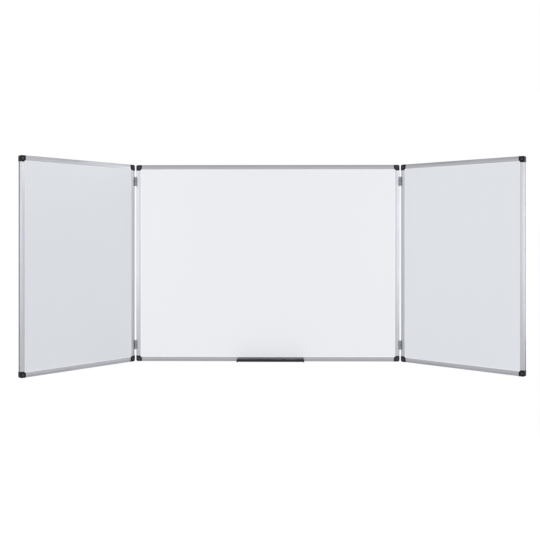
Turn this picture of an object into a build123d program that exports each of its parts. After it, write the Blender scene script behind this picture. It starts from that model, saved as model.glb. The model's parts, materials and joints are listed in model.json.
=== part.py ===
from build123d import *
import os
from math import radians, tan

# Wall-hung folding whiteboard. A wide centre board carries two half-width wings on
# butt hinges, and a clip-on pen tray under its lower rail.
# Row frame: +Z up, +X to the viewer's right, the writing side faces -Y.
# Origin: centre of the four wall screws, on the plane of the wall (Y = 0).
# All sizes are in millimetres.

# Boards
board_height = 900.0
wing_width = 600.0
meeting_gap = 6.0  # between the outer edges of the two wings when both are folded in
left_wing_angle = 50.8  # degrees that the wing stands forward of flat
right_wing_angle = 42.4  # degrees

# Panel: lacquered sheet, light core, sheet
sheet_thickness = 0.4
core_thickness = 11.2
panel_edge_gap = 0.3

# Frame extrusion: a slot for the panel inside, a T-slot along the outer side
bar_face = 20.0
lip_wall = 1.5
side_wall = 1.5
web_wall = 1.5
chamber_reach = 6.0
chamber_width = 8.4
slot_opening = 5.0
facet_width = 10.0
facet_drop = 1.4
shoulder_radius = 2.0
lip_edge_radius = 0.5

# Corner mouldings
corner_size = 26.0
corner_radius = 8.0
corner_inner_chamfer = 9.0
corner_proud = 0.5
corner_rim_radius = 1.0
leg_length = 20.0
leg_fit = 0.15
boss_wall = 2.25
cap_radius = 6.0
cap_fit = 0.15
cap_thickness = 2.8
cap_edge_radius = 0.7
wall_hole_radius = 2.6
wall_screw_inset = 12.0
wall_screw_head_radius = 4.5
wall_screw_head_depth = 5.0

# Grub screws that lock the moulding's legs in the extrusion
grub_radius = 1.9
grub_hole_radius = 2.0
grub_socket_radius = 1.1
grub_socket_depth = 2.0

# Hinges
hinge_gap = 4.0
axis_ahead = 3.0  # hinge axis in front of the frame's face
hinge_inset = 76.0  # hinge centre from the board's top or bottom edge
hinge_length = 40.0
knuckle_radius = 5.0
knuckle_clearance = 0.25  # between the ends of two knuckles
knuckle_relief = 0.5  # round the other leaf's knuckles
pin_radius = 2.5
pin_fit = 0.05
pin_head_radius = 3.6
pin_head_height = 1.2
pin_head_rounding = 0.6
leaf_thickness = 1.5
leaf_root = 3.2  # where the leaf leaves the knuckle, behind the axis
leaf_reach = 15.5  # far edge of the leaf, behind the axis
leaf_corner_radius = 1.5
leaf_screw_spread = 24.0

# Hinge screws and the nut strips in the T-slot
screw_radius = 1.5
screw_clearance = 0.1
screw_head_radius = 2.8
screw_head_height = 1.3
screw_sink = 0.05  # head below the leaf's face
screw_engagement = 3.5
cross_width = 0.7
cross_length = 3.2
cross_depth = 0.8
strip_length = 36.0
strip_thickness = 3.0
strip_fit = 0.2

# Pen tray
tray_length = 300.0
tray_offset = 13.0  # tray centre to the right of the board's centre
tray_wall = 2.0
tray_front = 52.0  # outside of the lip, in front of the frame's face
tray_back = 13.0  # back edge, behind the frame's face
tray_lip_top = 14.6  # above the board's bottom edge
tray_floor_angle = 7.8  # degrees
tray_bend_radius = 8.5
tray_root_radius = 20.0
tray_lip_rounding = 0.9
tongue_fit = 0.3
tongue_length = 5.5
tongue_tip_radius = 1.0
cheek_thickness = 3.0
cheek_margin = 1.2  # in front of the tray's section and above its lip
cheek_dip = 2.2  # below the tray's underside
cheek_top_width = 5.0
cheek_back_height = 9.5
cheek_rail_gap = 0.4
cheek_rounding = 2.5
cheek_edge_radius = 0.7

# Sizes worked out from those above
panel_thickness = core_thickness + 2 * sheet_thickness
frame_depth = panel_thickness + 2 * lip_wall
moulding_depth = frame_depth + 2 * corner_proud
mid_depth = moulding_depth / 2
centre_width = 2 * wing_width + meeting_gap
chamber_floor = side_wall + chamber_reach
panel_seat = chamber_floor + web_wall
panel_inset = panel_seat + panel_edge_gap
cap_seat_radius = cap_radius + cap_fit
boss_reach = wall_screw_inset + cap_seat_radius + boss_wall
leg_width = chamber_reach - 2 * leg_fit
leg_depth = chamber_width - 2 * leg_fit
leg_middle = side_wall + chamber_reach / 2
hinge_axis_depth = corner_proud + frame_depth + axis_ahead
hinge_axis_x = (centre_width + hinge_gap) / 2
hinge_height = board_height / 2 - hinge_inset
bore_radius = pin_radius + pin_fit
knuckle_length = (hinge_length - 2 * knuckle_clearance) / 3
side_face = hinge_gap / 2  # from the hinge axis to the frame's outer side
leaf_face = side_face - leaf_thickness

os.makedirs("parts", exist_ok=True)


def write(piece, name):
    """Labels one finished piece and writes its file."""
    piece.label = name
    export_step(piece, f"parts/{name}.step")


# Planes
# A board's own plane lies on its back, with x to the right, y up and z to the front.


def wing_plane(side, open_angle):
    """Plane of the left (-1) or right (1) wing, swung forward about its hinge axis."""
    swing = Location((side * hinge_axis_x, -hinge_axis_depth, 0), (0, 0, -side * open_angle))
    centre = (side * (hinge_gap + wing_width) / 2, hinge_axis_depth, 0)
    flat = Plane(origin=centre, x_dir=(1, 0, 0), z_dir=(0, -1, 0))
    return Plane(swing * flat.location)


def corner_planes(board, width):
    """Planes at a board's outer corners, at mid depth, each with x along the next bar.

    They go round from the bottom left: bottom left, bottom right, top right, top left.
    """
    planes = []
    for turn, (right, up) in enumerate([(-1, -1), (1, -1), (1, 1), (-1, 1)]):
        place = (right * width / 2, up * board_height / 2, mid_depth)
        planes.append(Plane(board * Location(place, (0, 0, 90 * turn))))
    return planes


def leg_planes(corner):
    """Planes in the middle of a moulding's end faces, with x along each of its two legs."""
    return [
        Plane(corner * Location((corner_size, leg_middle, 0))),
        Plane(corner * Location((leg_middle, corner_size, 0), (0, 0, 90))),
    ]


def grub_planes(corner):
    """Planes on the outer side of both legs, where the grub screws go in, z outwards."""
    along, across = leg_planes(corner)
    return [
        Plane(along * Location((leg_length / 2, -leg_width / 2, 0), (90, 0, 0))),
        Plane(across * Location((leg_length / 2, leg_width / 2, 0), (-90, 0, 0))),
    ]


def cap_planes(corner, sides):
    """Planes on a moulding's front (1) or back (-1) face at the screw's centre, z outwards."""
    planes = []
    for side in sides:
        tilt = 0 if side == 1 else 180
        place = (wall_screw_inset, wall_screw_inset, side * mid_depth)
        planes.append(Plane(corner * Location(place, (tilt, 0, 0))))
    return planes


def hinge_plane(board, width, side, height):
    """Plane at a hinge's centre on its axis: x away from the board, y to the back."""
    place = (side * (width + hinge_gap) / 2, height, hinge_axis_depth)
    at = (board * Location(place)).position
    return Plane(origin=at, x_dir=board.x_dir * side, z_dir=board.y_dir * side)


def leaf_screw_planes(hinge):
    """Planes on a leaf's open face at its two screws, z outwards."""
    middle = (hinge_axis_depth - mid_depth)
    planes = []
    for height in (-leaf_screw_spread / 2, leaf_screw_spread / 2):
        planes.append(Plane(hinge * Location((-leaf_face, middle, height), (0, 90, 0))))
    return planes


# Frame and panel


def frame_bar(corner, length):
    """One length of the extrusion, from a corner moulding along the corner's x."""
    start = (corner * Location((corner_size, 0, 0))).position
    with BuildPart() as bar:
        with BuildSketch(Plane(origin=start, x_dir=corner.y_dir, z_dir=corner.x_dir)) as profile:
            with BuildLine() as half:
                Polyline(
                    (0, slot_opening / 2),
                    (side_wall, slot_opening / 2),
                    (side_wall, chamber_width / 2),
                    (chamber_floor, chamber_width / 2),
                    (chamber_floor, 0),
                )
                Polyline(
                    (0, slot_opening / 2),
                    (0, frame_depth / 2 - facet_drop),
                    (facet_width, frame_depth / 2),
                    (bar_face, frame_depth / 2),
                    (bar_face, panel_thickness / 2),
                    (panel_seat, panel_thickness / 2),
                    (panel_seat, 0),
                )
                mirror(half.line, about=Plane.XZ)
            make_face()
            outer = profile.vertices().group_by(Axis.X)[0].sort_by(Axis.Y)
            fillet([outer[0], outer[-1]], shoulder_radius)
            inner = profile.vertices().group_by(Axis.X)[-1].sort_by(Axis.Y)
            fillet([inner[0], inner[-1]], lip_edge_radius)
        extrude(amount=length)
    return bar.part


def corner_moulding(corner):
    """Plastic corner with two legs that plug into the bars, and a stepped wall screw hole."""
    with BuildPart() as moulding:
        with BuildSketch(corner.offset(-mid_depth)) as footprint:
            with BuildLine():
                Polyline(
                    (0, 0),
                    (corner_size, 0),
                    (corner_size, corner_size - corner_inner_chamfer),
                    (corner_size - corner_inner_chamfer, corner_size),
                    (0, corner_size),
                    close=True,
                )
            make_face()
            fillet(footprint.vertices().sort_by_distance((0, 0))[0], corner_radius)
        extrude(amount=moulding_depth)
        ends = moulding.faces().sort_by(Axis(corner.origin, corner.z_dir))
        fillet([ends[0].edges(), ends[-1].edges()], corner_rim_radius)
        with BuildSketch(corner.offset(-panel_thickness / 2)):
            with BuildLine():
                Polyline(
                    (boss_reach, panel_seat),
                    (corner_size, panel_seat),
                    (corner_size, corner_size),
                    (panel_seat, corner_size),
                    (panel_seat, boss_reach),
                    (boss_reach, boss_reach),
                    close=True,
                )
            make_face()
        extrude(amount=panel_thickness, mode=Mode.SUBTRACT)
        with Locations(*leg_planes(corner)):
            Box(leg_length, leg_width, leg_depth, align=(Align.MIN, Align.CENTER, Align.CENTER))
        with Locations(*grub_planes(corner)):
            Hole(grub_hole_radius, depth=leg_width)
        with Locations(*cap_planes(corner, [1])):
            Hole(wall_hole_radius, depth=moulding_depth)
            Hole(wall_screw_head_radius, depth=cap_thickness + wall_screw_head_depth)
        with Locations(*cap_planes(corner, [1, -1])):
            Hole(cap_seat_radius, depth=cap_thickness)
    return moulding.part


def wall_corner_moulding(corner):
    """The same corner for the centre board: solid at the back, round the wall screw."""
    with BuildPart() as moulding:
        add(corner_moulding(corner))
        with BuildSketch(corner.offset(-mid_depth)):
            with Locations((wall_screw_inset, wall_screw_inset)):
                Circle(cap_seat_radius)
                Circle(wall_hole_radius, mode=Mode.SUBTRACT)
        extrude(amount=cap_thickness)
    return moulding.part


def corner_caps(planes):
    """Round caps that close the screw holes, flush with the mouldings."""
    with BuildPart() as caps:
        with BuildSketch(*[plane.offset(-cap_thickness) for plane in planes]):
            Circle(cap_radius)
        extrude(amount=cap_thickness)
        fillet(caps.edges().filter_by(GeomType.CIRCLE), cap_edge_radius)
    return caps.part


def grub_screws(planes):
    """Socket-head grub screws that jam each leg against the web of its bar."""
    with BuildPart() as grubs:
        with BuildSketch(*planes):
            Circle(grub_radius)
        extrude(amount=-(leg_width + leg_fit))
        with BuildSketch(*planes):
            RegularPolygon(grub_socket_radius, 6)
        extrude(amount=-grub_socket_depth, mode=Mode.SUBTRACT)
    return grubs.part


def panel_layer(board, width, back, thickness):
    """One layer of the panel, notched at its corners round the mouldings' bosses."""
    notch = boss_reach - panel_seat
    layer_width = width - 2 * panel_inset
    layer_height = board_height - 2 * panel_inset
    with BuildPart() as layer:
        with BuildSketch(board.offset(back)):
            Rectangle(layer_width, layer_height)
            with GridLocations(layer_width - notch, layer_height - notch, 2, 2):
                Rectangle(notch, notch, mode=Mode.SUBTRACT)
        extrude(amount=thickness)
    return layer.part


# Hinges


def hinge_leaf(hinge, outer_knuckles):
    """A leaf with the two outer knuckles or with the middle one, drilled for two screws."""
    step = knuckle_length + knuckle_clearance
    own, other = ([-step, step], [0]) if outer_knuckles else ([0], [-step, step])
    relief_length = knuckle_length + 2 * knuckle_clearance
    with BuildPart() as leaf:
        with BuildSketch(hinge.offset(-hinge_length / 2)):
            with Locations((-side_face, leaf_root)):
                Rectangle(leaf_thickness, leaf_reach - leaf_root, align=(Align.MIN, Align.MIN))
        extrude(amount=hinge_length)
        far_edges = leaf.edges().filter_by(Axis(hinge.origin, hinge.x_dir))
        far_edges = far_edges.sort_by(Axis(hinge.origin, hinge.y_dir))[-2:]
        fillet(far_edges, leaf_corner_radius)
        for height in other:
            with BuildSketch(hinge.offset(height - relief_length / 2)):
                Circle(knuckle_radius + knuckle_relief)
            extrude(amount=relief_length, mode=Mode.SUBTRACT)
        for height in own:
            with BuildSketch(hinge.offset(height - knuckle_length / 2)):
                Circle(knuckle_radius)
            extrude(amount=knuckle_length)
        with Locations(hinge.offset(-hinge_length / 2)):
            Hole(bore_radius, depth=hinge_length)
        with Locations(*leaf_screw_planes(hinge)):
            CounterSinkHole(
                screw_radius + screw_clearance,
                screw_head_radius + screw_clearance,
                depth=leaf_thickness,
                counter_sink_angle=90,
            )
    return leaf.part


def hinge_pin(hinge):
    """Headed pin through the three knuckles."""
    half = hinge_length / 2
    with BuildPart() as pin:
        with BuildSketch(hinge.offset(-half)):
            Circle(pin_radius)
        extrude(amount=hinge_length)
        for face, way in ((-half, -1), (half, 1)):
            with BuildSketch(hinge.offset(face)):
                Circle(pin_head_radius)
            extrude(amount=way * pin_head_height)
        tips = pin.faces().sort_by(Axis(hinge.origin, hinge.z_dir))
        fillet([tips[0].edges(), tips[-1].edges()], pin_head_rounding)
    return pin.part


def hinge_screws(hinges):
    """Countersunk screws of some leaves, cross slotted, from the leaf into the nut strip."""
    heads = []
    for hinge in hinges:
        for plane in leaf_screw_planes(hinge):
            heads.append(plane.offset(-screw_sink))
    length = leaf_thickness + side_wall + screw_engagement
    with BuildPart() as screws:
        with BuildSketch(*heads):
            Circle(screw_radius)
        extrude(amount=-length)
        with BuildSketch(*heads):
            Circle(screw_head_radius)
        extrude(amount=-screw_head_height, taper=45)
        with BuildSketch(*heads):
            Rectangle(cross_length, cross_width)
            Rectangle(cross_width, cross_length)
        extrude(amount=-cross_depth, mode=Mode.SUBTRACT)
    return screws.part


def nut_strips(hinges):
    """Drilled strips in the T-slot behind some leaves."""
    first_face = leaf_thickness + side_wall
    with BuildPart() as strips:
        middles = []
        for hinge in hinges:
            place = (-leaf_face - first_face, hinge_axis_depth - mid_depth, 0)
            middles.append(Plane(hinge * Location(place, (0, 90, 0))))
        with BuildSketch(*middles):
            Rectangle(strip_length, chamber_width - 2 * strip_fit)
        extrude(amount=-strip_thickness)
        for hinge in hinges:
            with Locations(*leaf_screw_planes(hinge)):
                Hole(screw_radius + screw_clearance, depth=first_face + strip_thickness)
    return strips.part


# Pen tray
# Its sections are drawn with x forward from the frame's face and y up from the board's
# bottom edge.


def tray_plane(across):
    """Section plane at a distance to the right of the board's centre, z to the left."""
    face = -(corner_proud + frame_depth)
    return Plane(origin=(across, face, -board_height / 2), x_dir=(0, -1, 0), z_dir=(-1, 0, 0))


def tray_outside(margin, dip):
    """Corner points of the tray's underside and lip, moved out by a margin and down by a dip."""
    rise = tan(radians(tray_floor_angle))
    low = -tray_wall - dip
    front = tray_front + margin
    return (-tray_back, low), (0, low), (front, low + front * rise), (front, tray_lip_top + margin)


def pen_tray_scoop():
    """Curved trough with a tongue that springs into the lower rail's T-slot."""
    with BuildPart() as scoop:
        with BuildSketch(tray_plane(tray_offset + tray_length / 2)) as section:
            with BuildLine() as outside:
                FilletPolyline(*tray_outside(0, 0), radius=[tray_root_radius, tray_bend_radius])
                offset(outside.line, amount=tray_wall, side=Side.LEFT)
            make_face()
            lip = section.vertices().group_by(Axis.Y)[-1]
            fillet(lip, tray_lip_rounding)
            with Locations((-frame_depth / 2, -tray_wall / 2)):
                Rectangle(
                    slot_opening - 2 * tongue_fit,
                    tray_wall / 2 + tongue_length,
                    align=(Align.CENTER, Align.MIN),
                )
            tip = section.vertices().filter_by_position(
                Axis.X, -frame_depth / 2 - slot_opening / 2, -frame_depth / 2 + slot_opening / 2
            )
            fillet(tip.group_by(Axis.Y)[-1], tongue_tip_radius)
        extrude(amount=tray_length)
    return scoop.part


def pen_tray_end(side):
    """End cheek of the tray, a little larger than its section all round."""
    across = tray_offset + side * tray_length / 2
    start = across + cheek_thickness if side == 1 else across
    back, root, bend, lip = tray_outside(cheek_margin, cheek_dip)
    with BuildPart() as cheek:
        with BuildSketch(tray_plane(start)) as outline:
            with BuildLine():
                Polyline(
                    back,
                    root,
                    bend,
                    lip,
                    (lip[0] - cheek_top_width, lip[1]),
                    (cheek_rail_gap, cheek_back_height),
                    (cheek_rail_gap, 0),
                    (back[0], 0),
                    close=True,
                )
            make_face()
            front = outline.vertices().group_by(Axis.X)[-1].sort_by(Axis.Y)
            fillet(front[0], tray_bend_radius + cheek_margin)
            front = outline.vertices().group_by(Axis.Y)[-1]
            fillet(front, cheek_rounding)
        extrude(amount=cheek_thickness)
        outer_face = cheek.faces().sort_by(Axis.X)[0 if side == -1 else -1]
        fillet(outer_face.edges(), cheek_edge_radius)
    return cheek.part


# Build and write every piece

corner_names = ["bottom_left", "bottom_right", "top_right", "top_left"]


def build_board(name, board, width, bar_names, layer_names):
    """Frame, corners, caps, grub screws and panel of one board."""
    corners = corner_planes(board, width)
    spans = [width, board_height, width, board_height]
    for corner, span, bar_name in zip(corners, spans, bar_names):
        write(frame_bar(corner, span - 2 * corner_size), f"{name}_{bar_name}")
    is_centre = name == "centre"
    moulding = wall_corner_moulding if is_centre else corner_moulding
    for corner, corner_name in zip(corners, corner_names):
        write(moulding(corner), f"{name}_corner_{corner_name}")
    seats = []
    grubs = []
    for corner in corners:
        seats += cap_planes(corner, [1] if is_centre else [1, -1])
        grubs += grub_planes(corner)
    write(corner_caps(seats), f"{name}_corner_caps")
    write(grub_screws(grubs), f"{name}_grub_screws")
    back = corner_proud + lip_wall
    thicknesses = [sheet_thickness, core_thickness, sheet_thickness]
    for thickness, layer_name in zip(thicknesses, layer_names):
        write(panel_layer(board, width, back, thickness), f"{name}_{layer_name}")
        back += thickness


centre_board = Plane(origin=(0, 0, 0), x_dir=(1, 0, 0), z_dir=(0, -1, 0))
centre_bars = ["bottom_rail", "right_stile", "top_rail", "left_stile"]
centre_layers = ["backing_sheet", "core", "writing_sheet"]
build_board("centre", centre_board, centre_width, centre_bars, centre_layers)

centre_hinges = []
for side_name, side, open_angle in (
    ("left", -1, left_wing_angle),
    ("right", 1, right_wing_angle),
):
    wing = wing_plane(side, open_angle)
    hinge_stile, outer_stile = "hinge_stile", "outer_stile"
    right_bar, left_bar = (hinge_stile, outer_stile) if side == -1 else (outer_stile, hinge_stile)
    wing_bars = ["bottom_rail", right_bar, "top_rail", left_bar]
    wing_layers = ["outer_sheet", "core", "inner_sheet"]
    build_board(f"{side_name}_wing", wing, wing_width, wing_bars, wing_layers)

    wing_hinges = []
    for level, height in (("lower", -hinge_height), ("upper", hinge_height)):
        fixed = hinge_plane(centre_board, centre_width, side, height)
        moving = hinge_plane(wing, wing_width, -side, height)
        hinge_name = f"{side_name}_{level}_hinge"
        write(hinge_leaf(fixed, outer_knuckles=True), f"{hinge_name}_fixed_leaf")
        write(hinge_leaf(moving, outer_knuckles=False), f"{hinge_name}_wing_leaf")
        write(hinge_pin(fixed), f"{hinge_name}_pin")
        centre_hinges.append(fixed)
        wing_hinges.append(moving)
    write(hinge_screws(wing_hinges), f"{side_name}_wing_hinge_screws")
    write(nut_strips(wing_hinges), f"{side_name}_wing_nut_strips")

write(hinge_screws(centre_hinges), "centre_hinge_screws")
write(nut_strips(centre_hinges), "centre_nut_strips")

write(pen_tray_scoop(), "pen_tray_scoop")
write(pen_tray_end(-1), "pen_tray_left_end")
write(pen_tray_end(1), "pen_tray_right_end")
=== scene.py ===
import json
import math

import bpy
from bpy.props import FloatProperty, FloatVectorProperty, PointerProperty
from mathutils import Matrix, Vector


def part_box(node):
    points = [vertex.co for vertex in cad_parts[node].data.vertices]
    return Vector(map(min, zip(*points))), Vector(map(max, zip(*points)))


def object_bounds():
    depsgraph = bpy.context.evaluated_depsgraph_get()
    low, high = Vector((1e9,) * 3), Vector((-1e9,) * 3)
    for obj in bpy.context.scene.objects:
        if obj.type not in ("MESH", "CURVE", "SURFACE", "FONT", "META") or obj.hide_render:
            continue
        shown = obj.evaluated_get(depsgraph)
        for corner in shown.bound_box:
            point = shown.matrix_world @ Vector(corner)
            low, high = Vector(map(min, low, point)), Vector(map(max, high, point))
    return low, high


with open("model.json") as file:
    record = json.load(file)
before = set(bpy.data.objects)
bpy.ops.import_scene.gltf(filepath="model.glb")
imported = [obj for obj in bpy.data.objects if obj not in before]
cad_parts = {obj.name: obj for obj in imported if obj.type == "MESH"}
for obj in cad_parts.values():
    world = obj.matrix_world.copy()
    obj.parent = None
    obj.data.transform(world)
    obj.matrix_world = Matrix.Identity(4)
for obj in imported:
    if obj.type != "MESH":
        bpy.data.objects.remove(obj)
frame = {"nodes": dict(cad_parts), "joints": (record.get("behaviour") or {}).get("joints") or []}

cad_low, cad_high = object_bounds()

bl_info = {
    "name": "Folding whiteboard",
    "version": (1, 0, 0),
    "blender": (4, 5, 0),
    "location": "View3D > Sidebar > Whiteboard",
    "description": "Finishes of a wall-hung folding whiteboard, and a studio to show it in",
    "category": "Object",
}

# All lengths are in metres. +Z is up, +X is to the viewer's right and the writing side of
# the centre board faces -Y.

rail_low, rail_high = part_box("centre_top_rail")
bar_face = rail_high.z - rail_low.z  # width of a bar, seen from the front
cap_inset = 0.012  # from the board's edges to the middle of a round cap
cap_radius = 0.006


# Boards


class Board:
    """One of the three boards, with its own axes: x across it, y to its back, z up."""

    def __init__(self, name, angle):
        self.name = name
        self.title = name.replace("_", " ")
        self.angle = angle
        turn = Matrix.Rotation(-angle, 3, "Z")
        points = []
        for corner in self.nodes("_corner_"):
            points += [turn @ vertex.co for vertex in corner.data.vertices]
        low = Vector([min(point[axis] for point in points) for axis in range(3)])
        high = Vector([max(point[axis] for point in points) for axis in range(3)])
        self.middle = (low + high) / 2
        self.half_width = (high.x - low.x) / 2
        self.half_height = (high.z - low.z) / 2
        self.half_depth = (high.y - low.y) / 2

    def nodes(self, *words):
        """The board's own nodes whose names hold one of these words."""
        found = []
        for name, node in frame["nodes"].items():
            if name.startswith(self.name) and any(word in name for word in words):
                found.append(node)
        return found


def wing_angles():
    """How far each wing is turned about +Z from flat, in radians, as its joint's range says."""
    angles = {}
    for joint in frame["joints"]:
        if joint["type"] == "hinge":
            to_flat = math.radians(joint["range_deg"][0])
            angles[joint["child"]] = -to_flat * joint["axis"][2]
    return angles


boards = [Board("centre", 0.0)]
for wing_name, wing_angle in wing_angles().items():
    boards.append(Board(wing_name, wing_angle))


# Sizes and colours


class FrameFinish(bpy.types.PropertyGroup):
    """Anodised aluminium of the bars."""

    colour: FloatVectorProperty(
        name="Colour",
        description="Colour of the anodised aluminium",
        subtype="COLOR",
        default=(0.612, 0.622, 0.668),
        min=0.0,
        max=1.0,
    )
    roughness: FloatProperty(
        name="Roughness",
        description="How far the satin surface spreads reflections",
        subtype="FACTOR",
        default=0.31,
        min=0.0,
        max=1.0,
    )
    stretch: FloatProperty(
        name="Stretch",
        description="How much wider reflections spread across the die lines than along them",
        subtype="FACTOR",
        default=0.8,
        min=0.0,
        max=1.0,
    )
    line_width: FloatProperty(
        name="Die line width",
        description="Width of the lines that the die leaves along a bar",
        unit="LENGTH",
        default=0.0006,
        min=0.0001,
    )
    line_depth: FloatProperty(
        name="Die line depth",
        description="Depth of those lines",
        unit="LENGTH",
        default=0.000006,
        min=0.0,
    )


class SheetFinish(bpy.types.PropertyGroup):
    """Lacquered steel of the writing surfaces, and the galvanised back."""

    colour: FloatVectorProperty(
        name="Colour",
        description="Colour of the white lacquer on the centre board",
        subtype="COLOR",
        default=(0.80, 0.81, 0.835),
        min=0.0,
        max=1.0,
    )
    # Painted light: the wings have the same lacquer as the centre board. This colour is tinted a
    # little bluer to paint the bluer side light that falls on them.
    wing_colour: FloatVectorProperty(
        name="Wing colour",
        description="Colour of the white lacquer on the wings, from another coil of steel",
        subtype="COLOR",
        default=(0.795, 0.814, 0.850),
        min=0.0,
        max=1.0,
    )
    # Painted highlight: the lacquer is painted lighter in a thin band next to the frame.
    border_colour: FloatVectorProperty(
        name="Border colour",
        description="Colour next to the frame, where nothing is written or wiped",
        subtype="COLOR",
        default=(0.88, 0.89, 0.90),
        min=0.0,
        max=1.0,
    )
    border_width: FloatProperty(
        name="Border width",
        description="Width of that border, from the frame's edge",
        unit="LENGTH",
        default=0.006,
        min=0.0,
    )
    roughness: FloatProperty(
        name="Roughness",
        description="How far the glossy lacquer spreads reflections",
        subtype="FACTOR",
        default=0.3,
        min=0.0,
        max=1.0,
    )
    ripple_width: FloatProperty(
        name="Ripple width",
        description="Width of the ripples of the sprayed lacquer",
        unit="LENGTH",
        default=0.0028,
        min=0.0005,
    )
    zinc_colour: FloatVectorProperty(
        name="Zinc colour",
        description="Colour of the galvanised sheet at the back",
        subtype="COLOR",
        default=(0.50, 0.515, 0.53),
        min=0.0,
        max=1.0,
    )
    zinc_flower: FloatProperty(
        name="Zinc flower width",
        description="Width of the crystals on the galvanised sheet",
        unit="LENGTH",
        default=0.009,
        min=0.001,
    )


class PlasticFinish(bpy.types.PropertyGroup):
    """Moulded plastic of the corners, their caps and the pen tray."""

    corner_colour: FloatVectorProperty(
        name="Corner colour",
        description="Colour of the wings' corner mouldings",
        subtype="COLOR",
        default=(0.0055, 0.0068, 0.0105),
        min=0.0,
        max=1.0,
    )
    # Painted reflection: the centre's corner mouldings are the same plastic as the wings'. This
    # lighter colour paints the reflection they catch from in front.
    centre_corner_colour: FloatVectorProperty(
        name="Centre corner colour",
        description="Colour of the centre board's corner mouldings, which are of another batch",
        subtype="COLOR",
        default=(0.016, 0.0185, 0.024),
        min=0.0,
        max=1.0,
    )
    cap_colour: FloatVectorProperty(
        name="Cap colour",
        description="Colour of the round caps in the corners",
        subtype="COLOR",
        default=(0.030, 0.034, 0.044),
        min=0.0,
        max=1.0,
    )
    tray_colour: FloatVectorProperty(
        name="Tray colour",
        description="Colour of the pen tray",
        subtype="COLOR",
        default=(0.012, 0.013, 0.019),
        min=0.0,
        max=1.0,
    )
    grain_width: FloatProperty(
        name="Grain width",
        description="Width of the fine grain that the mould leaves",
        unit="LENGTH",
        default=0.00045,
        min=0.0001,
    )


class FittingFinish(bpy.types.PropertyGroup):
    """Zinc-plated hinges and fasteners."""

    # Painted shade: the wing leaves have the same plating as the fixed ones. This darker colour
    # paints the shade on the wing side of the hinge.
    wing_leaf_colour: FloatVectorProperty(
        name="Wing leaf colour",
        description="Colour of the hinge leaves on the wings, from another plating batch",
        subtype="COLOR",
        default=(0.37, 0.376, 0.40),
        min=0.0,
        max=1.0,
    )
    hinge_colour: FloatVectorProperty(
        name="Hinge colour",
        description="Colour of the fixed hinge leaves and of the pins",
        subtype="COLOR",
        default=(0.43, 0.437, 0.462),
        min=0.0,
        max=1.0,
    )
    screw_colour: FloatVectorProperty(
        name="Screw colour",
        description="Colour of the screws and nut strips",
        subtype="COLOR",
        default=(0.50, 0.51, 0.52),
        min=0.0,
        max=1.0,
    )


class Studio(bpy.types.PropertyGroup):
    """Camera, light and floor."""

    camera_place: FloatVectorProperty(
        name="Camera place",
        description="Where the photograph was taken from",
        subtype="TRANSLATION",
        unit="LENGTH",
        default=(0.06066, -3.7555, 0.11692),
    )
    camera_turn: FloatProperty(
        name="Camera turn",
        description="How far the level camera is turned to the left",
        unit="ROTATION",
        default=math.radians(0.762),
    )
    focal_length: FloatProperty(
        name="Focal length",
        description="Focal length on a 36 mm wide sensor",
        unit="CAMERA",
        default=54.437,
        min=1.0,
    )
    camera_shift: FloatProperty(
        name="Camera shift",
        description="Vertical shift of the lens, as a share of the picture's width",
        subtype="FACTOR",
        default=-0.060,
        min=-1.0,
        max=1.0,
    )
    floor_drop: FloatProperty(
        name="Floor drop",
        description="Height at which the board hangs above the floor",
        unit="LENGTH",
        default=0.9,
        min=0.0,
    )
    light_above: FloatVectorProperty(
        name="Light from above",
        description="Even light from all round above, where 1 lights a surface to its colour",
        subtype="COLOR",
        default=(0.58, 0.584, 0.592),
        min=0.0,
        max=1.0,
    )
    light_below: FloatProperty(
        name="Light from below",
        description="Light from below the horizon, as a share of the light from above",
        subtype="FACTOR",
        default=0.30,
        min=0.0,
        max=1.0,
    )
    floor_bounce: FloatProperty(
        name="Floor bounce",
        description="Share of its light that the floor throws back on the board",
        subtype="FACTOR",
        default=0.33,
        min=0.0,
        max=1.0,
    )
    floor_glow: FloatProperty(
        name="Floor glow",
        description="Part of the floor's white that no shadow dims, where it is looked at",
        subtype="FACTOR",
        default=0.55,
        min=0.0,
        max=1.0,
    )
    floor_mirrored: FloatProperty(
        name="Floor in reflections",
        description="Share of that white which shows in reflections",
        subtype="FACTOR",
        default=0.3,
        min=0.0,
        max=1.0,
    )
    side_light: FloatProperty(
        name="Side light",
        description="Power of each of the two soft lights at the sides in front",
        unit="POWER",
        default=15.0,
        min=0.0,
    )
    edge_light: FloatProperty(
        name="Edge light",
        description="Power of the soft light level with the wall, far out on the right",
        unit="POWER",
        default=20.0,
        min=0.0,
    )
    front_light: FloatProperty(
        name="Front light",
        description="Power of the broad light behind the camera",
        unit="POWER",
        default=2350.0,
        min=0.0,
    )
    back_light: FloatProperty(
        name="Back light",
        description="Power of each of the two soft lights behind the board",
        unit="POWER",
        default=68.0,
        min=0.0,
    )
    top_light: FloatProperty(
        name="Top light",
        description="Power of the soft light above the board",
        unit="POWER",
        default=8.0,
        min=0.0,
    )


class Whiteboard(bpy.types.PropertyGroup):
    """Everything that a user may change."""

    frame: PointerProperty(name="Frame", description="Bars of the frames", type=FrameFinish)
    sheet: PointerProperty(name="Sheets", description="Faces of the panels", type=SheetFinish)
    plastic: PointerProperty(name="Plastic", description="Corners and tray", type=PlasticFinish)
    fitting: PointerProperty(name="Fittings", description="Hinges, screws", type=FittingFinish)
    studio: PointerProperty(name="Studio", description="Camera, light, floor", type=Studio)


# Shader maths


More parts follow.
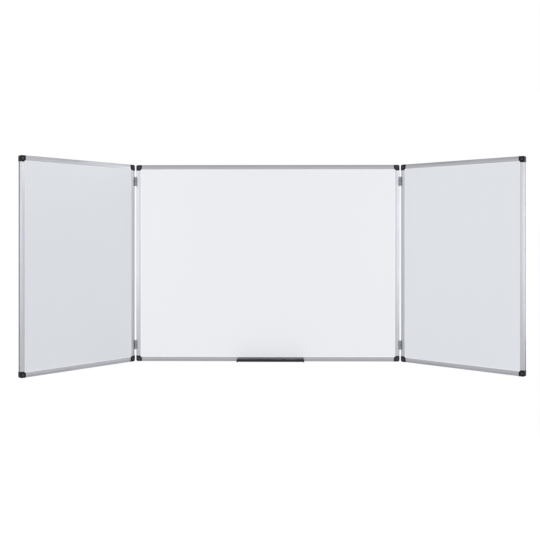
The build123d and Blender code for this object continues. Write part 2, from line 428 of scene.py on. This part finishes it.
class Value:
    """A shader socket. Arithmetic on sockets that carry numbers adds Math nodes."""

    def __init__(self, nodes, socket):
        self.nodes = nodes
        self.socket = socket

    def math(self, operation, first, second=0.0):
        """Result of one Math node."""
        return self.nodes.node("ShaderNodeMath", {"operation": operation}, {0: first, 1: second})

    def __add__(self, other):
        return self.math("ADD", self, other)

    def __radd__(self, other):
        return self.math("ADD", other, self)

    def __sub__(self, other):
        return self.math("SUBTRACT", self, other)

    def __rsub__(self, other):
        return self.math("SUBTRACT", other, self)

    def __mul__(self, other):
        return self.math("MULTIPLY", self, other)

    def __rmul__(self, other):
        return self.math("MULTIPLY", other, self)

    def __truediv__(self, other):
        return self.math("DIVIDE", self, other)

    def __rtruediv__(self, other):
        return self.math("DIVIDE", other, self)

    def __abs__(self):
        return self.math("ABSOLUTE", self)

    def largest(self, other):
        """The larger of two values."""
        return self.math("MAXIMUM", self, other)

    def smallest(self, other):
        """The smaller of two values."""
        return self.math("MINIMUM", self, other)


class Nodes:
    """A node tree that is built with one call for each node."""

    def __init__(self, tree):
        self.tree = tree
        self.tree.nodes.clear()

    def node(self, kind, settings=(), inputs=(), output=0):
        """Adds a node: first its settings, then the values or links of its sockets."""
        node = self.tree.nodes.new(kind)
        for name, value in dict(settings).items():
            if name == "stops":
                self.set_stops(node.color_ramp, value)
            else:
                setattr(node, name, value)
        for key, value in dict(inputs).items():
            if isinstance(value, Value):
                self.tree.links.new(value.socket, node.inputs[key])
            else:
                node.inputs[key].default_value = value
        if isinstance(output, (list, tuple)):
            return [Value(self, node.outputs[key]) for key in output]
        return Value(self, node.outputs[output]) if node.outputs else None

    def ramp(self, level, stops):
        """A grey level that follows another through the stops."""
        return self.node("ShaderNodeValToRGB", {"stops": stops}, {"Fac": level})

    def set_stops(self, ramp, stops):
        """Sets a ramp's stops, each a position and a grey level."""
        while len(ramp.elements) < len(stops):
            ramp.elements.new(1.0)
        for element, (position, level) in zip(ramp.elements, stops):
            element.position = position
            element.color = (level, level, level, 1.0)


class Finish(Nodes):
    """A material whose patterns are laid out in metres."""

    def __init__(self, name):
        self.material = bpy.data.materials.new(name)
        self.material.use_nodes = True
        super().__init__(self.material.node_tree)

    def place(self, middle=(0.0, 0.0, 0.0), angle=0.0):
        """Object coordinates turned by minus the angle about Z, then moved to the middle."""
        where = self.node("ShaderNodeTexCoord", output="Object")
        return self.node(
            "ShaderNodeMapping",
            inputs={
                "Vector": where,
                "Location": [-distance for distance in middle],
                "Rotation": (0.0, 0.0, -angle),
            },
        )

    def place_on(self, board):
        """A board's own coordinates, as three numbers."""
        return self.split(self.place(board.middle, board.angle))

    def split(self, vector):
        """The three numbers of a vector."""
        return self.node("ShaderNodeSeparateXYZ", inputs={0: vector}, output=[0, 1, 2])

    def join(self, x, y, z):
        """A vector from three numbers."""
        return self.node("ShaderNodeCombineXYZ", inputs={0: x, 1: y, 2: z})

    def noise(self, vector, width=1.0, detail=2.0, roughness=0.5):
        """Smooth noise about 0, from about -0.5 to 0.5, with features of this width."""
        level = self.node(
            "ShaderNodeTexNoise",
            inputs={
                "Vector": vector,
                "Scale": 1.0 / width,
                "Detail": detail,
                "Roughness": roughness,
            },
        )
        return level - 0.5

    def cells(self, vector, width):
        """Cells of this width: the distance to each one's middle, and a random number for it."""
        distance, colour = self.node(
            "ShaderNodeTexVoronoi",
            inputs={"Vector": vector, "Scale": 1.0 / width},
            output=["Distance", "Color"],
        )
        return distance, self.split(colour)[0]

    def blend(self, factor, first, second):
        """A colour between two, by a factor."""
        return self.node(
            "ShaderNodeMix",
            {"data_type": "RGBA", "clamp_factor": True},
            {0: factor, 6: as_colour(first), 7: as_colour(second)},
            output=2,
        )

    def bump(self, height, depth, strength=1.0):
        """A normal that follows a height, which is given as a share of the depth."""
        return self.node(
            "ShaderNodeBump", inputs={"Strength": strength, "Distance": depth, "Height": height}
        )

    def surface(self, inputs):
        """Ends the material in a Principled surface with these sockets."""
        shader = self.node("ShaderNodeBsdfPrincipled", inputs=inputs)
        self.node("ShaderNodeOutputMaterial", inputs={"Surface": shader})
        return self.material


def as_colour(value):
    """A colour with its alpha, where it is given as three numbers."""
    return value if isinstance(value, Value) else (*tuple(value)[:3], 1.0)


def shade(colour, level):
    """A colour made lighter or darker."""
    return [channel * level for channel in tuple(colour)[:3]]


def dress(nodes, material):
    """Gives CAD nodes a finish."""
    for node in nodes:
        for slot in node.material_slots:
            slot.material = material


def nodes_ending(*endings):
    """The CAD nodes whose names end in one of these words."""
    return [node for name, node in frame["nodes"].items() if name.endswith(endings)]


# Finishes


def anodised_bar(sizes, board, along):
    """Satin anodised aluminium with die lines along a board's rails or its stiles."""
    finish = Finish(f"anodised aluminium of the {board.title}, {along}")
    x, y, z = finish.place_on(board)
    run, side = (x, z) if along == "rails" else (z, x)
    line = sizes.line_width
    broad_line = 6 * line
    fine_run, broad_run = 1.4, 0.6  # changes along a metre of bar
    speck_length, speck_width = 0.004, 0.0004
    fine = finish.noise(finish.join(run * fine_run, side / line, y / line), detail=3.0)
    broad = finish.noise(
        finish.join(run * broad_run, side / broad_line, y / broad_line), detail=1.0
    )
    handled = finish.noise(finish.join(x, y, z), width=0.07, detail=4.0)
    specks = finish.noise(
        finish.join(run / speck_length, side / speck_width, y / speck_width), detail=0.0
    )
    scratch = finish.ramp(specks + 0.5, [(0.70, 0.0), (0.78, 1.0)])
    tone = fine * 0.35 + broad * 0.5 + 0.5
    colour = finish.blend(tone, shade(sizes.colour, 0.93), shade(sizes.colour, 1.07))
    colour = finish.blend(scratch * 0.35, colour, shade(sizes.colour, 1.35))
    return finish.surface({
        "Base Color": colour,
        "Metallic": 1.0,
        "Roughness": sizes.roughness + fine * 0.10 + handled * 0.12,
        "Anisotropic": sizes.stretch,
        "Anisotropic Rotation": 0.25 if along == "rails" else 0.0,
        "Normal": finish.bump(fine + broad * 0.6, sizes.line_depth),
    })


def lacquered_sheet(sizes, board):
    """White lacquer on steel: faint ripples, wiping marks and a painted highlight, a lighter
    band along the frame.
    """
    finish = Finish(f"lacquered steel of the {board.title}")
    x, y, z = finish.place_on(board)
    face = finish.join(x, y, z)
    ripple_depth = 0.000006
    bow, lean = 0.35, 0.3  # how far strokes across curve down and strokes upwards lean
    across_width, up_width = 0.022, 0.030
    across_run, up_run = 1.5, 1.2  # changes along a metre of stroke
    ripple = finish.noise(face, width=sizes.ripple_width, detail=1.0)
    wiped_across = finish.noise(
        finish.join(x * across_run, (z + x * x * bow) / across_width, 0.0),
        detail=3.0,
        roughness=0.6,
    )
    wiped_up = finish.noise(
        finish.join((x - z * lean) / up_width, z * up_run, 0.0), detail=3.0, roughness=0.6
    )
    cloud = finish.noise(face, width=0.35, detail=3.0)
    # Painted highlight: a thin lighter band along the inner edge of the frame.
    frame_gap_x = board.half_width - bar_face - abs(x)
    frame_gap_z = board.half_height - bar_face - abs(z)
    inside = frame_gap_x.smallest(frame_gap_z) / sizes.border_width
    painted_highlight_mask = finish.ramp(inside, [(0.0, 1.0), (0.55, 0.75), (1.0, 0.0)])
    tone = 0.5 + cloud * 0.45 + wiped_across * 0.3 + wiped_up * 0.25
    # The wings' colour carries painted light: a bluer tint for the side light they get.
    white = sizes.wing_colour if board.angle else sizes.colour
    colour = finish.blend(tone, shade(white, 0.988), shade(white, 1.012))
    colour = finish.blend(painted_highlight_mask, colour, sizes.border_colour)
    return finish.surface({
        "Base Color": colour,
        "Roughness": sizes.roughness + wiped_across * 0.07 + wiped_up * 0.05 + cloud * 0.04,
        "IOR": 1.5,
        "Normal": finish.bump(ripple + wiped_across * 0.2, ripple_depth),
    })


def galvanised_sheet(sizes, board):
    """Hot-dipped zinc: frosted crystals of two sizes, each with its own rays, and scuffs."""
    finish = Finish("galvanised steel")
    x, y, z = finish.place_on(board)
    face = finish.join(x, y, z)
    bend = 0.004  # how far the crystals' edges wander
    ray_length, ray_width = 0.0025, 0.0006
    scuff_length, scuff_width = 0.25, 0.0012
    crystal_height = 0.00003
    bent = finish.noise(face, width=0.006, detail=2.0)
    spread = finish.join(x + bent * bend, y, z - bent * bend)
    distance, random = finish.cells(spread, sizes.zinc_flower)
    inner, small = finish.cells(spread, sizes.zinc_flower * 0.45)
    rays = finish.noise(
        finish.join(
            x / ray_length + random * 9.0, random * 40.0, z / ray_width + small * 5.0
        ),
        detail=2.0,
    )
    cloud = finish.noise(face, width=0.15, detail=3.0)
    scuff = finish.noise(finish.join(x / scuff_length, 0.0, z / scuff_width), detail=1.0)
    scuffed = finish.ramp(scuff + 0.5, [(0.72, 0.0), (0.80, 1.0)])
    tone = 0.1 + random * 0.45 + small * 0.3 + rays * 0.4 + distance * 0.2 + cloud * 0.3
    colour = finish.blend(tone, shade(sizes.zinc_colour, 0.80), shade(sizes.zinc_colour, 1.17))
    colour = finish.blend(scuffed * 0.3, colour, shade(sizes.zinc_colour, 1.25))
    height = random * 0.4 + rays * 0.3 + distance * 0.2 + inner * 0.1
    return finish.surface({
        "Base Color": colour,
        "Metallic": 0.92,
        "Roughness": 0.38 + random * 0.14 + small * 0.08 + rays * 0.08 - scuffed * 0.08,
        "Normal": finish.bump(height, crystal_height),
    })


def honeycomb_board():
    """Brown paper core, between the sheets."""
    finish = Finish("paper honeycomb core")
    where = finish.place()
    x, y, z = finish.split(where)
    dark_paper, pale_paper = (0.36, 0.26, 0.15), (0.54, 0.42, 0.28)
    fibre_length, fibre_width, fibre_thickness = 0.004, 0.0008, 0.0004
    fibre_height = 0.0001
    fibre = finish.noise(
        finish.join(x / fibre_length, y / fibre_thickness, z / fibre_width), detail=3.0
    )
    cloud = finish.noise(where, width=0.03, detail=2.0)
    colour = finish.blend(fibre * 0.8 + cloud * 0.6 + 0.5, dark_paper, pale_paper)
    return finish.surface({
        "Base Color": colour,
        "Roughness": 0.9 + fibre * 0.1,
        "Normal": finish.bump(fibre, fibre_height),
    })


def moulded_corner(sizes, board):
    """Black plastic with a fine mould grain, a little scuffed along its outer edges."""
    finish = Finish(f"black plastic of the {board.title} corners")
    x, y, z = finish.place_on(board)
    where = finish.join(x, y, z)
    grain_depth = 0.00002
    worn_edge = 0.0012
    grain = finish.noise(where, width=sizes.grain_width, detail=2.0)
    flow = finish.noise(where, width=0.009, detail=3.0)
    rubs = finish.noise(where, width=0.0016, detail=4.0, roughness=0.7)
    side_edge = (abs(x) - (board.half_width - worn_edge)) / worn_edge
    end_edge = (abs(z) - (board.half_height - worn_edge)) / worn_edge
    face_edge = (abs(y) - (board.half_depth - worn_edge)) / worn_edge
    rim = side_edge.largest(end_edge).smallest(face_edge + 0.6)
    worn = finish.ramp(rim + rubs * 1.6, [(0.45, 0.0), (1.0, 1.0)])
    # The centre's corners get a lighter colour as a painted reflection. The wings' corners keep
    # the plastic's own black.
    plain_or_painted_reflection = sizes.corner_colour if board.angle else sizes.centre_corner_colour
    colour = finish.blend(flow + 0.5, shade(plain_or_painted_reflection, 0.85), shade(plain_or_painted_reflection, 1.2))
    colour = finish.blend(worn * 0.35, colour, shade(sizes.corner_colour, 5.0))
    return finish.surface({
        "Base Color": colour,
        "Roughness": 0.42 + flow * 0.10 + worn * 0.12,
        "Specular IOR Level": 0.25,
        "Normal": finish.bump(grain, grain_depth),
    })


def moulded_cap(sizes, board):
    """Round caps: a lighter black, with a gate mark in the middle and a groove round it."""
    finish = Finish(f"black plastic of the {board.title} caps")
    x, y, z = finish.place_on(board)
    where = finish.join(x, y, z)
    gate_radius = 0.0015
    groove_depth = 0.0001
    across = abs(x) - (board.half_width - cap_inset)
    up = abs(z) - (board.half_height - cap_inset)
    from_middle = finish.join(across, up, 0.0)
    distance = finish.node(
        "ShaderNodeVectorMath", {"operation": "LENGTH"}, {0: from_middle}, output="Value"
    )
    grain = finish.noise(where, width=sizes.grain_width, detail=2.0)
    flow = finish.noise(where, width=0.005, detail=3.0)
    gate = finish.ramp(distance / gate_radius, [(0.35, 1.0), (0.60, 0.0)])
    groove = finish.ramp(
        distance / cap_radius, [(0.70, 0.0), (0.76, 1.0), (0.80, 1.0), (0.86, 0.0)]
    )
    colour = finish.blend(
        flow + 0.5, shade(sizes.cap_colour, 0.85), shade(sizes.cap_colour, 1.15)
    )
    return finish.surface({
        "Base Color": colour,
        "Roughness": 0.46 + flow * 0.1,
        "Normal": finish.bump(grain * 0.2 + gate * 0.6 - groove * 0.8, groove_depth),
    })


def moulded_tray(sizes):
    """Charcoal plastic with faint lines along X, as its extrusion leaves them."""
    finish = Finish("charcoal plastic of the pen tray")
    where = finish.place()
    x, y, z = finish.split(where)
    line_width, line_depth = 0.0012, 0.00002
    line_run = 3.0  # changes along a metre of tray
    drawn = finish.noise(finish.join(x * line_run, y / line_width, z / line_width), detail=2.0)
    grain = finish.noise(where, width=sizes.grain_width, detail=1.0)
    flow = finish.noise(where, width=0.02, detail=4.0)
    colour = finish.blend(
        flow + drawn * 0.4 + 0.5, shade(sizes.tray_colour, 0.8), shade(sizes.tray_colour, 1.3)
    )
    return finish.surface({
        "Base Color": colour,
        "Roughness": 0.38 + flow * 0.12 + drawn * 0.06,
        "Specular IOR Level": 0.35,
        "Normal": finish.bump(drawn * 0.6 + grain * 0.5, line_depth),
    })


def plated_steel(name, colour, roughness, grain_height):
    """Zinc-plated steel with rolling marks that run upwards, and small dull blooms."""
    finish = Finish(name)
    where = finish.place()
    x, y, z = finish.split(where)
    mark_length, mark_width = 0.006, 0.0004
    rolled = finish.noise(
        finish.join(x / mark_width, y / mark_width, z / mark_length), detail=2.0
    )
    bloom = finish.noise(where, width=0.006, detail=3.0)
    tone = rolled * 0.5 + bloom * 0.8 + 0.5
    mixed = finish.blend(tone, shade(colour, 0.82), shade(colour, 1.16))
    return finish.surface({
        "Base Color": mixed,
        "Metallic": 1.0,
        "Roughness": roughness + bloom * 0.14 + rolled * 0.06,
        "Normal": finish.bump(rolled, grain_height),
    })


# Operators


class FinishBars(bpy.types.Operator):
    """Anodised aluminium on the rails and stiles of the three boards"""

    bl_idname = "whiteboard.finish_bars"
    bl_label = "Finish the bars"

    def execute(self, context):
        sizes = context.scene.whiteboard.frame
        for board in boards:
            dress(board.nodes("_rail"), anodised_bar(sizes, board, "rails"))
            dress(board.nodes("_stile"), anodised_bar(sizes, board, "stiles"))
        return {"FINISHED"}


class FinishPanels(bpy.types.Operator):
    """White lacquer on the writing sheets, zinc on the back and paper in the core"""

    bl_idname = "whiteboard.finish_panels"
    bl_label = "Finish the panels"

    def execute(self, context):
        sizes = context.scene.whiteboard.sheet
        core = honeycomb_board()
        for board in boards:
            writing = board.nodes("_writing_sheet", "_inner_sheet", "_outer_sheet")
            dress(writing, lacquered_sheet(sizes, board))
            dress(board.nodes("_core"), core)
        dress(boards[0].nodes("_backing_sheet"), galvanised_sheet(sizes, boards[0]))
        return {"FINISHED"}


class FinishCorners(bpy.types.Operator):
    """Black plastic on the corner mouldings and their round caps"""

    bl_idname = "whiteboard.finish_corners"
    bl_label = "Finish the corners"

    def execute(self, context):
        sizes = context.scene.whiteboard.plastic
        for board in boards:
            mouldings = board.nodes("_corner_bottom", "_corner_top")
            dress(mouldings, moulded_corner(sizes, board))
            dress(board.nodes("_corner_caps"), moulded_cap(sizes, board))
        return {"FINISHED"}


class FinishHinges(bpy.types.Operator):
    """Zinc plating on the hinges, the screws and the nut strips"""

    bl_idname = "whiteboard.finish_hinges"
    bl_label = "Finish the hinges"

    def execute(self, context):
        sizes = context.scene.whiteboard.fitting
        rolled, turned = 0.000008, 0.000003  # grain of rolled sheet and of turned pieces
        leaf_roughness, pin_roughness, screw_roughness = 0.5, 0.3, 0.32
        fixed = plated_steel(
            "zinc plate of the fixed leaves", sizes.hinge_colour, leaf_roughness, rolled
        )
        # The wing leaves are painted darker than the fixed ones: painted shade.
        moving_with_painted_shade = plated_steel(
            "zinc plate of the wing leaves", sizes.wing_leaf_colour, leaf_roughness, rolled
        )
        pin = plated_steel(
            "turned hinge pins", shade(sizes.hinge_colour, 1.2), pin_roughness, turned
        )
        screw = plated_steel(
            "zinc-plated fasteners", sizes.screw_colour, screw_roughness, turned
        )
        dress(nodes_ending("_fixed_leaf"), fixed)
        dress(nodes_ending("_wing_leaf"), moving_with_painted_shade)
        dress(nodes_ending("_pin"), pin)
        dress(nodes_ending("_hinge_screws", "_grub_screws", "_nut_strips"), screw)
        return {"FINISHED"}


class FinishTray(bpy.types.Operator):
    """Charcoal plastic on the pen tray and its end cheeks"""

    bl_idname = "whiteboard.finish_tray"
    bl_label = "Finish the pen tray"

    def execute(self, context):
        tray = [node for name, node in frame["nodes"].items() if name.startswith("pen_tray")]
        dress(tray, moulded_tray(context.scene.whiteboard.plastic))
        return {"FINISHED"}


def looked_at(nodes, in_reflections=1.0):
    """1 where a surface is looked at, this share where a reflection of it is, and else 0."""
    camera, glossy, transmission = nodes.node(
        "ShaderNodeLightPath", output=["Is Camera Ray", "Is Glossy Ray", "Is Transmission Ray"]
    )
    return camera.largest(transmission).largest(glossy * in_reflections)


def make_floor(studio):
    """Pale floor under the hanging board. It looks white and keeps the board's shadow."""
    bpy.ops.object.select_all(action="DESELECT")
    bottom = cad_low.z - studio.floor_drop
    bpy.ops.mesh.primitive_circle_add(
        vertices=96, radius=3.0, fill_type="NGON", location=(0.0, 0.0, bottom)
    )
    floor = bpy.context.object
    floor.name = "studio_floor"
    finish = Finish("studio floor")
    white = (1.0, 1.0, 1.0)
    darkest, palest = 0.58, 0.60
    mottle = finish.noise(finish.place(), width=0.4, detail=4.0)
    pale = finish.blend(mottle + 0.5, shade(white, darkest), shade(white, palest))
    lit = finish.node("ShaderNodeBsdfDiffuse", inputs={"Color": pale})
    glow = finish.node(
        "ShaderNodeEmission", inputs={"Color": as_colour(white), "Strength": studio.floor_glow}
    )
    seen = finish.node("ShaderNodeAddShader", inputs={0: lit, 1: glow})
    bounce = as_colour(shade(white, studio.floor_bounce))
    thrown = finish.node("ShaderNodeBsdfDiffuse", inputs={"Color": bounce})
    share = looked_at(finish, studio.floor_mirrored)
    mixed = finish.node("ShaderNodeMixShader", inputs={0: share, 1: thrown, 2: seen})
    finish.node("ShaderNodeOutputMaterial", inputs={"Surface": mixed})
    finish.material.cycles.emission_sampling = "NONE"
    floor.data.materials.append(finish.material)


def make_light(name, place, size, power, in_reflections=True):
    """Soft rectangular light that faces the middle of the centre board."""
    data = bpy.data.lights.new(name, "AREA")
    data.shape = "RECTANGLE"
    data.size, data.size_y = size
    data.energy = power
    light = bpy.data.objects.new(name, data)
    light.location = place
    light.rotation_euler = (-Vector(place)).to_track_quat("-Z", "Y").to_euler()
    light.visible_camera = False
    light.visible_glossy = in_reflections
    bpy.context.scene.collection.objects.link(light)


def make_world(studio):
    """White to look at. Reflections show a white band all round, darker above and below.

    The band is a little brighter to the right, and darker at both sides under the horizon.
    """
    world = bpy.data.worlds.new("studio air")
    world.use_nodes = True
    world.cycles.sampling_method = "NONE"
    bpy.context.scene.world = world
    air = Nodes(world.node_tree)
    direction = air.node("ShaderNodeTexCoord", output="Generated")
    across, height = air.node("ShaderNodeSeparateXYZ", inputs={0: direction}, output=[0, 2])
    rise = height * 0.5 + 0.5  # 0 straight down, 0.5 at the horizon and 1 straight up
    level = air.ramp(rise, [(0.45, studio.light_below), (0.55, 1.0)])
    light = air.node(
        "ShaderNodeBackground",
        inputs={"Color": as_colour(studio.light_above), "Strength": level},
    )
    band = air.ramp(rise, [(0.30, 0.42), (0.44, 0.89), (0.51, 1.0), (0.58, 1.0), (0.70, 0.42)])
    above = air.ramp(rise, [(0.45, 0.0), (0.51, 1.0)])
    brighter_right, darker_sides = 0.07, 0.09
    band = band + across * above * brighter_right - abs(across) * (1.0 - above) * darker_sides
    shown = looked_at(air, 0.0).largest(band)
    white = air.node(
        "ShaderNodeBackground",
        inputs={"Color": as_colour((1.0, 1.0, 1.0)), "Strength": shown},
    )
    mixed = air.node("ShaderNodeMixShader", inputs={0: looked_at(air), 1: light, 2: white})
    air.node("ShaderNodeOutputWorld", inputs={"Surface": mixed})


def make_camera(studio):
    """Level camera at the photograph's place, with its lens and shift."""
    data = bpy.data.cameras.new("photograph")
    data.sensor_width = 36.0
    data.lens = studio.focal_length
    data.shift_y = studio.camera_shift
    camera = bpy.data.objects.new("photograph", data)
    camera.location = studio.camera_place
    camera.rotation_euler = (math.radians(90.0), 0.0, studio.camera_turn)
    bpy.context.scene.collection.objects.link(camera)
    bpy.context.scene.camera = camera


class SetStage(bpy.types.Operator):
    """Camera, floor and soft studio light"""

    bl_idname = "whiteboard.set_stage"
    bl_label = "Set the stage"

    def execute(self, context):
        studio = context.scene.whiteboard.studio
        make_camera(studio)
        make_world(studio)
        make_floor(studio)
        for side in (-1, 1):
            make_light(
                "side softbox",
                place=(side * 3.6, -5.5, 0.2),
                size=(2.6, 2.0),
                power=studio.side_light,
            )
            make_light(
                "back softbox",
                place=(side * 2.3, 3.3, 0.8),
                size=(2.0, 2.0),
                power=studio.back_light,
                in_reflections=False,
            )
        make_light(
            "edge softbox", place=(3.8, 0.7, 0.3), size=(1.6, 2.0), power=studio.edge_light
        )
        make_light(
            "front panel",
            place=(0.0, -20.0, 0.9),
            size=(12.0, 7.0),
            power=studio.front_light,
            in_reflections=False,
        )
        make_light(
            "top softbox", place=(0.0, -0.2, 3.0), size=(2.6, 1.6), power=studio.top_light
        )
        context.scene.view_settings.view_transform = "Standard"
        return {"FINISHED"}


class WhiteboardPanel(bpy.types.Panel):
    """The whiteboard's pieces and settings"""

    bl_idname = "VIEW3D_PT_whiteboard"
    bl_label = "Folding whiteboard"
    bl_space_type = "VIEW_3D"
    bl_region_type = "UI"
    bl_category = "Whiteboard"

    def draw(self, context):
        for operator in operators:
            self.layout.operator(operator.bl_idname)
        settings = context.scene.whiteboard
        for group_name in Whiteboard.__annotations__:
            box = self.layout.box()
            box.label(text=group_name.title())
            group = getattr(settings, group_name)
            for name in type(group).__annotations__:
                box.prop(group, name)


operators = [FinishBars, FinishPanels, FinishCorners, FinishHinges, FinishTray, SetStage]
groups = [FrameFinish, SheetFinish, PlasticFinish, FittingFinish, Studio, Whiteboard]
classes = [*groups, *operators, WhiteboardPanel]


def register():
    for made_class in classes:
        bpy.utils.register_class(made_class)
    bpy.types.Scene.whiteboard = PointerProperty(type=Whiteboard)


def unregister():
    del bpy.types.Scene.whiteboard
    for made_class in reversed(classes):
        bpy.utils.unregister_class(made_class)


def main():
    register()
    bpy.ops.whiteboard.finish_bars()
    bpy.ops.whiteboard.finish_panels()
    bpy.ops.whiteboard.finish_corners()
    bpy.ops.whiteboard.finish_hinges()
    bpy.ops.whiteboard.finish_tray()
    bpy.ops.whiteboard.set_stage()


if __name__ == "__main__":
    main()
